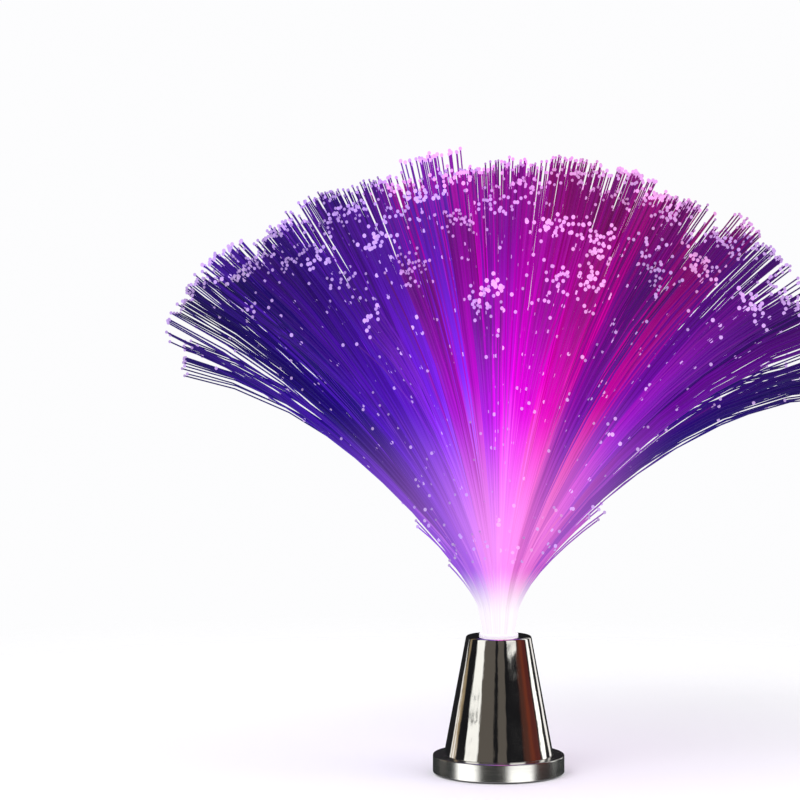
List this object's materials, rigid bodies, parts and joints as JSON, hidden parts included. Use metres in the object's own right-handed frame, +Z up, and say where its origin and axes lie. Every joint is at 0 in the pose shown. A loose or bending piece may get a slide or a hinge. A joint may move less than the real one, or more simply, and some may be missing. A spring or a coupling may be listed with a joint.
{
  "type": "fiber optic lamp",
  "caption": "Table lamp with a mirror chrome cone on a satin ring and a round spray of glowing plastic fibres that lifts out, with a battery bay and slide switch underneath.",
  "frame": {"origin": "centre of the footprint on the surface that the lamp stands on", "axes": "+Z up along the cone's axis, -Y the front, +X to the right seen from the front; the switch is underneath at +X and the battery door's hinge at -Y"},
  "size_m": [0.3758, 0.3758, 0.357],
  "materials": {
    "satin_ring": "satin, soft wide highlights",
    "chrome_shell": "mirror polished",
    "black_plastic": "fine moulded texture",
    "switch_knob": "moulded, three grip grooves",
    "foot_rubber": "soft foam rubber",
    "zinc_screws": "zinc plated",
    "battery_can": "plain printed sleeve, no lettering",
    "spring_steel": "nickel plated",
    "board_green": "solder mask",
    "chip_black": "moulded epoxy",
    "resistor_body": "glazed block",
    "led_red": "clear tinted epoxy",
    "led_green": "clear tinted epoxy",
    "led_blue": "clear tinted epoxy",
    "wire_red": "insulated lead",
    "wire_black": "insulated lead",
    "wire_white": "insulated lead",
    "white_collar": "translucent, glows when lit",
    "clear_window": "clear, polished",
    "lit_fibre": "clear acrylic glowing violet, magenta and blue, with bright tips"
  },
  "bodies": {
    "base": {"base_ring": "satin_ring", "battery_1": "battery_can", "battery_2": "battery_can", "battery_3": "battery_can", "battery_springs": "spring_steel", "board_screws": "zinc_screws", "bottom_plate": "black_plastic", "chrome_cone": "chrome_shell", "contact_plates": "spring_steel", "controller_chip": "chip_black", "foot_pads": "foot_rubber", "housing_screws": "zinc_screws", "led_blue": "led_blue", "led_board": "board_green", "led_green": "led_green", "led_red": "led_red", "resistors": "resistor_body", "switch_body": "black_plastic", "switch_terminals": "spring_steel", "wire_negative": "wire_black", "wire_positive": "wire_red", "wire_switched": "wire_white"},
    "spray": {"fibre_collar": "white_collar", "light_window": "clear_window", "fibre_centre": "lit_fibre", "fibre_ring_1": "lit_fibre", "fibre_ring_2": "lit_fibre", "fibre_ring_3": "lit_fibre", "fibre_ring_4": "lit_fibre", "fibre_ring_5": "lit_fibre"},
    "switch": {"switch_knob": "switch_knob"},
    "door": {"battery_door": "black_plastic", "door_screw": "zinc_screws"}
  },
  "joints": [
    {"name": "spray_lift", "type": "slide", "parent": "base", "child": "spray", "axis": [0, 0, 1], "range_m": [0, 0.03]},
    {"name": "switch_slide", "type": "slide", "parent": "base", "child": "switch", "axis": [0, 1, 0], "range_m": [-0.003, 0]},
    {"name": "battery_door_hinge", "type": "hinge", "parent": "base", "child": "door", "pos_m": [0, -0.0239, 0.0021], "axis": [-1, 0, 0], "range_deg": [0, 80]}
  ]
}
